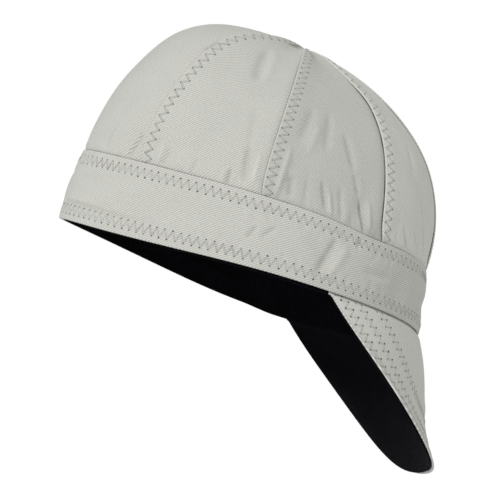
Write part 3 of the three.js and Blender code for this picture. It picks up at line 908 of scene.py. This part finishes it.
def thread_finish(name, looks):
    """Sewing thread: a little lighter and darker along it, with a fine twist"""
    finish = Finish(name, Roughness=0.7, Specular_IOR_Level=0.3)
    cloud = finish.cloud(finish.place(), 700.0, 2.0)
    shade = triple([0.8 * c for c in looks.thread])
    twist = finish.cloud(finish.place(), 3200.0, 1.0)
    tone = finish.blend(cloud, shade, triple(looks.thread))
    return finish.show(Base_Color=tone, Normal=finish.relief(twist, 0.00008))


# The pieces


def kept(piece, material, slot, *nodes):
    """Gives a finished piece its material and its body, and hides the solids that it stands for"""
    piece.data.materials.append(material)
    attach(piece, "root")
    if nodes:
        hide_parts(*nodes)
    return piece


def whole_pitch(form):
    """The band's stitch, fitted a whole number of times round it"""
    count = round(form.waist_run[-1] / form.band_pitch)
    return form.waist_run[-1] / count


def waist_chart(form, columns):
    """Length round the band at each of its columns, and at the first once more"""
    return np.interp(np.linspace(0, 2 * np.pi, columns + 1), form.fine_turns, form.waist_run)


def make_band(form):
    """The band: a wall of folded canvas, thinner along its top edge"""
    columns = 800
    turn = np.linspace(0, 2 * np.pi, columns, endpoint=False)
    top, hem = form.band_height, 1.2
    share = spread((RIM_ROLL, hem, 2), (hem, top - hem, 46), (top - hem, top - RIM_ROLL, 2))
    share = share[:, None] / form.band_height
    outer = form.band_layer(turn[None], share, 0.0)
    from_top = form.band_height * (1 - share)
    wall = mixed(form.band_edge, form.band_wall, eased(from_top, 1.5, 5.0))
    inner = form.band_layer(turn[None], share, wall)
    swell = unevenness(outer, 26.0, 3.1, 0.5)[..., None]
    fade = np.clip(np.minimum(6 * share, 6 * (1 - share)), 0, 1)[..., None]
    out = unit(outer * [1, 1, 0])
    outer, inner = outer + out * swell * fade, inner + out * swell * fade
    up = np.zeros_like(outer[0])
    up[..., 2] = RIM_ROLL
    points = rolled(outer, inner, -up, up)
    across = np.repeat(waist_chart(form, columns)[None], len(share), axis=0)
    height = np.repeat(share * form.band_height, columns + 1, axis=1)
    chart = (rolled_map(across), rolled_map(height))
    around = form.band(turn[None] + 1e-3, share) - form.band(turn[None] - 1e-3, share)
    rate = np.linalg.norm(around, axis=-1) / 2e-3
    # Pucker depth, for the painted shade and highlight of the puckers
    depth = form.pucker_depth_at(BAND_PUCKERS, turn[None], share * form.band_height, rate)
    depth = np.concatenate([depth, depth[:, :1]], axis=1)
    folds = (rolled_map(depth), rolled_map(height))
    return cloth_mesh("canvas_band", points, {"cloth": chart, "stitches": chart, "folds": folds}, True)


def make_lining(form):
    """The black lining. It ends just below the rim, and lower on the near side and behind the bill"""
    columns = 420
    turn = np.linspace(0, 2 * np.pi, columns, endpoint=False)
    near_side = np.exp(-((np.degrees(turn) - 360 + 92) / 22) ** 2)
    from_bill = np.degrees(np.abs(np.mod(turn + np.pi, 2 * np.pi) - np.pi))
    low = -0.25 - 0.8 * near_side - 1.1 * (1 - eased(from_bill, 72, 84))
    share = mixed(low[None], form.band_height - 1.2, np.linspace(0, 1, 26)[:, None]) / form.band_height
    wave = 0.25 * np.sin(9 * turn + 1.3 * np.sin(3 * turn))[None] * np.sin(np.pi * np.clip(share, 0, 1))
    outer = form.band_layer(turn[None], share, form.lining_layer + 0.1 + np.abs(wave))
    inner = form.band_layer(turn[None], share, form.lining_layer + 0.8 + np.abs(wave))
    up = np.zeros_like(outer[0])
    up[..., 2] = 0.35
    points = rolled(outer, inner, -up, up)
    across = np.repeat(waist_chart(form, columns)[None], len(share), axis=0)
    height = np.concatenate([share, share[:, :1]], axis=1) * form.band_height
    return cloth_mesh("black_lining", points, {"cloth": (rolled_map(across), rolled_map(height))}, True)


class Panel:
    """One crown panel between two seams. Its low edge is folded over the neighbour, and its high
    edge runs on under the next panel"""

    def __init__(self, form, number):
        self.form = form
        self.number = number
        self.run = float(form.meridian_at(np.array(np.pi / 2)))

    def seam(self, number, climb):
        """The turn of a panel's folded edge at a height above the band"""
        form = self.form
        turn = form.turn_at(form.top_run, form.top_run[-1] * (number - 1) / PANELS - form.seam_shift)
        foot, middle, top = (math.radians(bend) for bend in SEAM_BENDS[(number - 1) % PANELS])
        above = np.exp(-np.maximum(climb, 0) / 8)
        return turn + mixed(mixed(middle, foot, above), top, eased(climb, *TOP_BEND))

    def edges(self, share):
        """Turns of the low and the high seam, cloth per radian there, and the lap's size as a share"""
        form = self.form
        climb = share * self.run
        low_turn, high_turn = self.seam(self.number, climb), self.seam(self.number + 1, climb)
        low = form.look_up(form.crown_rate, low_turn, share)
        high = form.look_up(form.crown_rate, high_turn, share)
        room = (high_turn - low_turn) * np.minimum(low, high)
        return low_turn, high_turn, low, high, np.minimum(1, 0.34 * room / form.lap_width)

    def swell(self, turn, share):
        """How far the cloth stands outside a round crown: less in the panel's middle, where it lies
        flatter, and beside the neighbour's fold, where it dips"""
        climb = share * self.run
        low_turn, high_turn, low, high, size = self.edges(share)
        flat = low_turn + 0.9 * self.form.lap_width * size / low
        part = (turn - flat) / (high_turn - flat)
        arc = np.clip(4 * part * (1 - part), 0, 1)
        points = self.form.look_up(self.form.crown_points, turn, share)
        soft = unevenness(points, 30.0, 1.7, 0.45) - self.form.panel_bow * arc
        soft = soft * np.clip(climb / 12, 0, 1) * np.clip((self.run - climb) / 14, 0, 1)
        away = (turn - high_turn) * high
        under = np.clip(away / 2, 0, 1)
        dip = self.form.seam_valley * np.exp(-((np.minimum(away, 0) / (2.4 * size)) ** 2)) + 0.35 * under
        dip = dip * (1 - 0.6 * eased(climb, *TOP_FLAT))
        return soft - dip * mixed(0.4, 1, np.clip(climb / 3, 0, 1))

    def rise(self, across, climb, size):
        """How far the folded edge stands up, in mm, by the distance from it"""
        form = self.form
        side = 1 - eased(across, 0.6 * form.lap_width * size, 2.3 * form.lap_width * size)
        side = side * mixed(0.5, 1, np.clip(climb / 3, 0, 1))
        return form.fold_rise * side * (1 - 0.8 * eased(climb, *TOP_FLAT))

    def point(self, across, climb, above=0.0):
        """The panel's face at a distance from its folded edge and up from the band, both in mm"""
        share = np.asarray(climb) / self.run
        low_turn, _, low, _, size = self.edges(share)
        turn = low_turn + np.asarray(across) * size / low
        rise = self.rise(np.asarray(across) * size, climb, size)
        return self.form.crown_layer(turn, share, -rise - self.swell(turn, share) - above)


def with_root(values):
    """Values of a panel's columns with two more, for its root inside the band"""
    return np.concatenate([values[:, :1], values[:, :1], values], axis=1)


def make_panel(form, number):
    """A crown panel: its folded edge, its middle, and the strip that goes in under the next panel"""
    panel = Panel(form, number)
    climb = spread((0.0, 3.0, 7), (3.0, panel.run - 3, 150), (panel.run - 3, panel.run - 0.12, 6))
    share = (climb / panel.run)[None]
    low_seam, high_seam, low, high, size = panel.edges(share)
    lap = form.lap_width * size
    lapped = np.clip(climb[None] / 2.5, 0, 1)
    near = spread((0.25, 1.0, 2), (1.0, 11.0, 12))[:, None] * size
    near_turn = low_seam + near / low
    far_turn = high_seam + (lapped * (lap - 0.3 * size) - 0.2 * size * (1 - lapped)) / high
    seam_turn = high_seam - 0.3 * size / high
    middle = np.linspace(0, 1, 84)[1:, None]
    middle_turn = mixed(near_turn[-1:], seam_turn, middle)
    under = np.linspace(0, 1, 6)[1:, None]
    under_turn = mixed(seam_turn, far_turn, under)
    turn = np.concatenate([near_turn, middle_turn, under_turn])
    shares = np.broadcast_to(share, turn.shape)
    across = (turn - low_seam) * low
    rise = panel.rise(across, climb[None], size)
    swell = panel.swell(turn, shares)
    outer = form.crown_layer(turn, shares, -rise - swell)
    inner = form.crown_layer(turn, shares, form.panel_wall - rise - swell)
    tuck = np.array([form.crown_tuck, form.crown_tuck / 2])
    inside = 1 - tuck[None] / form.band_height
    root = form.band_layer(turn[:, :1], inside, form.middle_layer)
    outer = np.concatenate([root, outer], axis=1)
    root = form.band_layer(turn[:, :1], inside, form.middle_layer + form.cloth_wall)
    inner = np.concatenate([root, inner], axis=1)
    climbs = np.concatenate([-tuck, climb])
    sizes = with_root(size)
    across = with_root(across)
    low_out = unit(outer[0] - outer[1]) * 0.2 * sizes[0][:, None]
    high_out = unit(outer[-1] - outer[-2]) * 0.2 * sizes[0][:, None]
    points = rolled(outer, inner, low_out, high_out)
    along = np.repeat(climbs[None], len(turn), axis=0)
    cloth = (rolled_map(across), rolled_map(along))
    stitches = (rolled_map(along), rolled_map(across / sizes))
    # Distance to the next panel's fold, for the painted shade beside and under it
    to_fold = with_root((high_seam - turn) * high)
    crevice = (rolled_map(to_fold), rolled_map(along))
    # Pucker depth, for the painted shade and highlight of the puckers
    rate = form.look_up(form.crown_rate, turn, shares)
    depth = form.pucker_depth_at(CROWN_PUCKERS, turn, shares * form.meridian_at(turn), rate)
    folds = (rolled_map(with_root(depth)), rolled_map(along))
    maps = {"cloth": cloth, "stitches": stitches, "crevice": crevice, "folds": folds}
    return cloth_mesh(f"canvas_panel_{number}", points, maps, False)


def bill_columns(form, count, end=0.985):
    """Turns of the bill's columns, closer together towards its corners"""
    side = np.sin(np.pi / 2 * np.linspace(-end, end, count))
    return form.bill_turn + side * form.bill_half_arc


def bill_edge(form):
    """The bill's edge as turns, points and length along it from the middle"""
    turn = bill_columns(form, 1201, 0.9995)
    point = form.bill_layer(turn, form.bill_reach(turn), 0.0)
    run = form.run_along(point)
    return turn, point, run - run[len(run) // 2]


def edge_chart(form, points):
    """For points of the bill: place along its edge, and distance from it"""
    _, edge, run = bill_edge(form)
    place, away = np.empty(points.shape[:-1]), np.empty(points.shape[:-1])
    for row, part in enumerate(points):
        gaps = np.linalg.norm(part[:, None] - edge[None], axis=-1)
        nearest = gaps.argmin(axis=1)
        place[row] = run[nearest]
        away[row] = gaps.min(axis=1)
    return place, away


def make_bill(form, name, inset, tucked):
    """A layer of the bill. A tucked one has a root that goes up inside the band"""
    turn = bill_columns(form, 220)
    reach = form.bill_reach(turn)
    side = (turn - form.bill_turn) / form.bill_half_arc
    let_out = BLACK_EDGE["far"] * eased(side, 0.15, 0.5)
    let_out -= BLACK_EDGE["tip"] * np.exp(-(((side + 0.08) / 0.3) ** 2))
    end = reach - 0.3 + inset * let_out
    to_edge = 0.1 * np.sin(np.linspace(0, np.pi / 2, 12))
    rows = np.concatenate([np.linspace(0, 0.9, 36, endpoint=False), 0.9 + to_edge])
    along = rows[:, None] * np.maximum(end, 0.4)[None]
    if tucked:
        root = np.repeat(np.array([[-form.bill_tuck], [-form.bill_tuck / 2]]), len(turn), axis=1)
        along = np.concatenate([root, along])
    turns = np.broadcast_to(turn[None], along.shape)
    outer = form.bill_layer(turns, along, inset)
    inner = form.bill_layer(turns, along, inset + form.cloth_wall)
    tip = unit(outer[-1] - outer[-2]) * 0.45
    points = rolled(outer, inner, -tip * 0.3, tip, 5)
    place, away = edge_chart(form, outer)
    stitches = (rolled_map(place, 5), rolled_map(away, 5))
    rim_run = np.interp(turn, form.fine_turns - np.pi, form.waist_run)
    cloth = (rolled_map(np.repeat(rim_run[None], len(along), axis=0), 5), rolled_map(along, 5))
    # Pucker depth, for the painted shade and highlight of the puckers
    depth = form.pucker_depth_at(BILL_PUCKERS, turns, along, PUCKER_RATE)
    folds = (rolled_map(depth, 5), rolled_map(along, 5))
    return cloth_mesh(name, points, {"cloth": cloth, "stitches": stitches, "folds": folds}, False)


# Threads


def one_stitch(radius):
    """A straight stitch of length 1 along X, as (points, faces), to be bent and copied"""
    bpy.ops.object.select_all(action="DESELECT")
    bpy.ops.mesh.primitive_circle_add(
        vertices=5, radius=radius, fill_type="NGON", rotation=(0, math.pi / 2, 0), enter_editmode=True
    )
    for _ in range(5):
        bpy.ops.mesh.extrude_region_move(TRANSFORM_OT_translate={"value": (0.2, 0, 0)})
    bpy.ops.mesh.select_all(action="SELECT")
    bpy.ops.mesh.normals_make_consistent(inside=False)
    bpy.ops.object.mode_set(mode="OBJECT")
    made = bpy.context.object
    bpy.ops.object.transform_apply(location=True, rotation=True, scale=True)
    points = np.array([v.co[:] for v in made.data.vertices])
    faces = [tuple(p.vertices) for p in made.data.polygons]
    mesh = made.data
    bpy.data.objects.remove(made)
    bpy.data.meshes.remove(mesh)
    return points, faces


def sewn(name, starts, ends, outs, radius):
    """Stitches from starts to ends, that stand up along outs, as one mesh"""
    shape, faces = one_stitch(radius)
    x = shape[:, 0]
    arch = radius * 1.9 * (1 - np.abs(2 * x - 1) ** 3) - radius * 1.3
    ahead = ends - starts
    side = unit(np.cross(outs, ahead))
    points = (
        starts[:, None] + ahead[:, None] * x[None, :, None]
        + side[:, None] * shape[None, :, 1, None]
        + outs[:, None] * (shape[:, 2] + arch)[None, :, None]
    )
    count = len(shape)
    every = [tuple(v + k * count for v in face) for k in range(len(starts)) for face in faces]
    mesh = bpy.data.meshes.new(name)
    mesh.from_pydata((points.reshape(-1, 3) / MM).tolist(), [], every)
    mesh.validate()
    mesh.shade_smooth()
    piece = bpy.data.objects.new(name, mesh)
    bpy.context.scene.collection.objects.link(piece)
    return piece


def zigzag(surface, places, low, high, pitch):
    """Starts, ends and outward directions of a zigzag's stitches. surface(place, height, above)
    gives points, place in pitches and height in mm"""
    low_places, high_places = places, places + 0.5
    order = np.stack([low_places, high_places], axis=1).ravel()
    heights = np.tile([low, high], len(places))
    face = surface(order * pitch, heights, 0.0)
    raised = surface(order * pitch, heights, 0.5)
    outs = unit(raised - face)
    middle = unit(outs[:-1] + outs[1:])
    return face[:-1], face[1:], middle


def joined(runs):
    """Several zigzags as one"""
    return [np.concatenate(parts) for parts in zip(*runs)]


def band_stitches(form):
    pitch = whole_pitch(form)
    count = round(form.waist_run[-1] / pitch)

    def surface(place, height, above):
        turn = form.turn_at(form.waist_run, place)
        return form.band_layer(turn, height / form.band_height, -above)

    places = np.arange(count + 1, dtype=float)
    return joined([zigzag(surface, places, low, high, pitch) for low, high in BAND_ROWS])


def seam_stitches(form):
    runs = []
    for number in range(1, PANELS + 1):
        panel = Panel(form, number)

        def surface(place, height, above, panel=panel):
            return panel.point(height, place, above)

        count = int((panel.run - 9) / form.seam_pitch)
        runs.append(zigzag(surface, np.arange(1.0, count), *SEAM_ROW, form.seam_pitch))
    return joined(runs)


def bill_inward(form, place, away, above):
    """Points of the bill at a place along its edge and a distance inwards from it"""
    turns, _, run = bill_edge(form)
    turn = np.interp(place, run, turns)
    along = form.bill_reach(turn)
    step = 1e-3
    ahead = np.interp(place + 0.2, run, turns)
    tangent = form.bill_layer(ahead, form.bill_reach(ahead), 0.0) - form.bill_layer(turn, along, 0.0)
    tangent = unit(tangent)
    jumps = 12
    for _ in range(jumps):
        base = form.bill_layer(turn, along, 0.0)
        by_turn = (form.bill_layer(turn + step, along, 0.0) - base) / step
        by_along = (form.bill_layer(turn, along + step, 0.0) - base) / step
        out = unit(np.cross(by_along, by_turn))
        inward = unit(np.cross(tangent, out))
        inward *= np.sign((inward * -by_along).sum(axis=-1, keepdims=True))
        jump = inward * (away / jumps)[:, None]
        a, b, c = (by_turn**2).sum(-1), (by_turn * by_along).sum(-1), (by_along**2).sum(-1)
        p, q = (jump * by_turn).sum(-1), (jump * by_along).sum(-1)
        spare = a * c - b * b
        turn = turn + (p * c - q * b) / spare
        along = along + (q * a - p * b) / spare
    return form.bill_layer(turn, along, -above)


def bill_stitches(form):
    _, _, run = bill_edge(form)
    runs = []
    for low, high in BILL_ROWS:
        most = run[-1] - high - 3
        count = int(2 * most / form.bill_pitch)
        places = np.arange(-count // 2, count // 2 + 1, dtype=float)

        def surface(place, away, above):
            return bill_inward(form, place, np.asarray(away, dtype=float), above)

        runs.append(zigzag(surface, places, low, high, form.bill_pitch))
    return joined(runs)


# Operators


def the_form(context):
    return Form(context.scene.cap_sizes)


class CAP_OT_crown(bpy.types.Operator):
    """Make the crown's eight lapped canvas panels"""

    bl_idname = "cap.crown"
    bl_label = "Crown panels"

    def execute(self, context):
        form = the_form(context)
        looks = context.scene.cap_looks
        for number, (tone, weave, crevice, fold_highlight) in enumerate(PANEL_LOOKS, 1):
            name = f"crown_canvas_{number}"
            # Painted highlight, with a little wear, along the panel's folded edge only
            edges = (0.9, 500.0, 501.0, fold_highlight)
            material = canvas_finish(
                name, looks, [SEAM_ROW], form.seam_pitch, edges, crevice, tone, weave_share=weave
            )
            kept(make_panel(form, number), material, "canvas", f"crown_panel_{number}")
        return {"FINISHED"}


class CAP_OT_band(bpy.types.Operator):
    """Make the deep canvas band"""

    bl_idname = "cap.band"
    bl_label = "Band"

    def execute(self, context):
        form = the_form(context)
        # Painted highlight, with a little wear, along the band's rim and its top edge
        edges = (0.7, form.band_height - 0.7, form.band_height, 0.5)
        looks = context.scene.cap_looks
        material = canvas_finish(
            "band_canvas", looks, BAND_ROWS, whole_pitch(form), edges,
            grain_way=BAND_GRAIN, dent_share=0.26, hole_share=1.0,
        )
        kept(make_band(form), material, "canvas", "band")
        return {"FINISHED"}


class CAP_OT_lining(bpy.types.Operator):
    """Make the band's black lining"""

    bl_idname = "cap.lining"
    bl_label = "Lining"

    def execute(self, context):
        form = the_form(context)
        material = lining_finish("lining_cloth", context.scene.cap_looks)
        kept(make_lining(form), material, "black_cloth", "band_lining")
        return {"FINISHED"}


class CAP_OT_bill(bpy.types.Operator):
    """Make the bill's canvas top and its black underside"""

    bl_idname = "cap.bill"
    bl_label = "Bill"

    def execute(self, context):
        form = the_form(context)
        looks = context.scene.cap_looks
        top = make_bill(form, "bill_canvas", 0.0, True)
        # tone_share 1.13 paints the bill's canvas lighter than the crown's: painted light, as if lit from
        # in front
        material = canvas_finish(
            "bill_canvas", looks, BILL_ROWS, form.bill_pitch,
            tone_share=1.13, dent_share=0.24, hole_share=1.0, hole_size=1.35,
        )
        kept(top, material, "canvas", "bill_top")
        under = make_bill(form, "bill_black", form.cloth_wall + form.layer_gap, False)
        kept(under, lining_finish("bill_lining_cloth", looks), "black_cloth", "bill_underside")
        return {"FINISHED"}


class CAP_OT_threads(bpy.types.Operator):
    """Sew the zigzag rows of the crown, the band and the bill"""

    bl_idname = "cap.threads"
    bl_label = "Threads"

    def execute(self, context):
        form = the_form(context)
        material = thread_finish("sewing_thread", context.scene.cap_looks)
        for name, rows in (
            ("crown_threads", seam_stitches(form)),
            ("band_threads", band_stitches(form)),
            ("bill_threads", bill_stitches(form)),
        ):
            kept(sewn(name, *rows, form.thread / 2), material, "canvas")
        return {"FINISHED"}


class CAP_OT_stage(bpy.types.Operator):
    """Set up the pale floor, the soft lights and the camera"""

    bl_idname = "cap.stage"
    bl_label = "Stage"

    def execute(self, context):
        looks = context.scene.cap_looks
        scene = context.scene
        scene.view_settings.view_transform = "Standard"
        bpy.ops.object.select_all(action="DESELECT")
        bpy.ops.mesh.primitive_circle_add(vertices=96, radius=1.7, fill_type="NGON", location=(0, 0, -0.3))
        floor = context.object
        floor.name = "floor"
        finish = Finish("pale_floor", Roughness=0.9, Specular_IOR_Level=0.1)
        grain = finish.cloud(finish.place(), 40.0)
        finish.show(Base_Color=finish.blend(grain, (0.9, 0.9, 0.9), (0.94, 0.94, 0.94)))
        floor.data.materials.append(finish.material)
        make_world(scene, looks.room_light)
        for name, place, size, power in (
            ("key_light", (-1.35, 1.3, 0.6), 0.8, looks.key_light),
            ("fill_light", (-0.7, -1.0, 1.4), 1.2, looks.fill_light),
        ):
            made = bpy.data.lights.new(name, "AREA")
            made.shape = "DISK"
            made.size = size
            made.energy = power
            lamp = bpy.data.objects.new(name, made)
            scene.collection.objects.link(lamp)
            aim = Vector((0, 0, 0.04)) - Vector(place)
            lamp.location = place
            lamp.rotation_euler = aim.to_track_quat("-Z", "Y").to_euler()
        make_camera(scene)
        return {"FINISHED"}


def make_world(scene, strength):
    """A white room: white behind the cap, and soft light of the given strength on it"""
    world = bpy.data.worlds.new("white_room")
    world.use_nodes = True
    tree = world.node_tree
    tree.nodes.clear()
    room = tree.nodes.new("ShaderNodeBackground")
    room.inputs["Color"].default_value = (1, 1, 1, 1)
    room.inputs["Strength"].default_value = strength
    seen = tree.nodes.new("ShaderNodeBackground")
    seen.inputs["Color"].default_value = (1, 1, 1, 1)
    seen.inputs["Strength"].default_value = 1.0
    path = tree.nodes.new("ShaderNodeLightPath")
    mix = tree.nodes.new("ShaderNodeMixShader")
    out = tree.nodes.new("ShaderNodeOutputWorld")
    tree.links.new(path.outputs["Is Camera Ray"], mix.inputs[0])
    tree.links.new(room.outputs[0], mix.inputs[1])
    tree.links.new(seen.outputs[0], mix.inputs[2])
    tree.links.new(mix.outputs[0], out.inputs["Surface"])
    scene.world = world


def make_camera(scene):
    """The photograph's view: from the side and a little below, with the camera rolled"""
    azimuth, rise, roll = math.radians(3.70), math.radians(5.89), math.radians(18.14)
    distance, scale = 1.2674, 1832.1
    level = Vector((-math.cos(azimuth), math.sin(azimuth), 0))
    back = level * math.cos(rise) - Vector((0, 0, math.sin(rise)))
    right = Vector((-math.sin(azimuth), -math.cos(azimuth), 0))
    up = back.cross(right)
    rolled_right = math.cos(roll) * right + math.sin(roll) * up
    rolled_up = math.cos(roll) * up - math.sin(roll) * right
    place = back * distance
    target = rolled_right * (12.4 / scale) + rolled_up * (30.0 / scale)
    look = (place - target).normalized()
    side = (rolled_right - look * rolled_right.dot(look)).normalized()
    above = look.cross(side)
    data = bpy.data.cameras.new("camera")
    data.sensor_width = 36.0
    data.lens = 36.0 * 2322 / 500
    data.clip_start, data.clip_end = 0.05, 50
    camera = bpy.data.objects.new("camera", data)
    scene.collection.objects.link(camera)
    camera.matrix_world = Matrix((
        (side.x, above.x, look.x, place.x),
        (side.y, above.y, look.y, place.y),
        (side.z, above.z, look.z, place.z),
        (0, 0, 0, 1),
    ))
    scene.camera = camera


OPERATORS = (CAP_OT_crown, CAP_OT_band, CAP_OT_lining, CAP_OT_bill, CAP_OT_threads, CAP_OT_stage)


class CAP_PT_panel(bpy.types.Panel):
    """The cap's steps, sizes and colours"""

    bl_idname = "CAP_PT_panel"
    bl_label = "Welding cap"
    bl_space_type = "VIEW_3D"
    bl_region_type = "UI"
    bl_category = "Cap"

    def draw(self, context):
        column = self.layout.column()
        for made in OPERATORS:
            column.operator(made.bl_idname)
        for group in (context.scene.cap_sizes, context.scene.cap_looks):
            for name in group.__annotations__:
                column.prop(group, name)


CLASSES = (CapSizes, CapLooks, *OPERATORS, CAP_PT_panel)


def register():
    for made in CLASSES:
        bpy.utils.register_class(made)
    bpy.types.Scene.cap_sizes = PointerProperty(type=CapSizes)
    bpy.types.Scene.cap_looks = PointerProperty(type=CapLooks)


def unregister():
    del bpy.types.Scene.cap_sizes
    del bpy.types.Scene.cap_looks
    for made in reversed(CLASSES):
        bpy.utils.unregister_class(made)


def main():
    register()
    bpy.ops.object.select_all(action="DESELECT")
    bpy.ops.cap.crown()
    bpy.ops.cap.band()
    bpy.ops.cap.lining()
    bpy.ops.cap.bill()
    bpy.ops.cap.threads()
    bpy.ops.cap.stage()


if __name__ == "__main__":
    main()
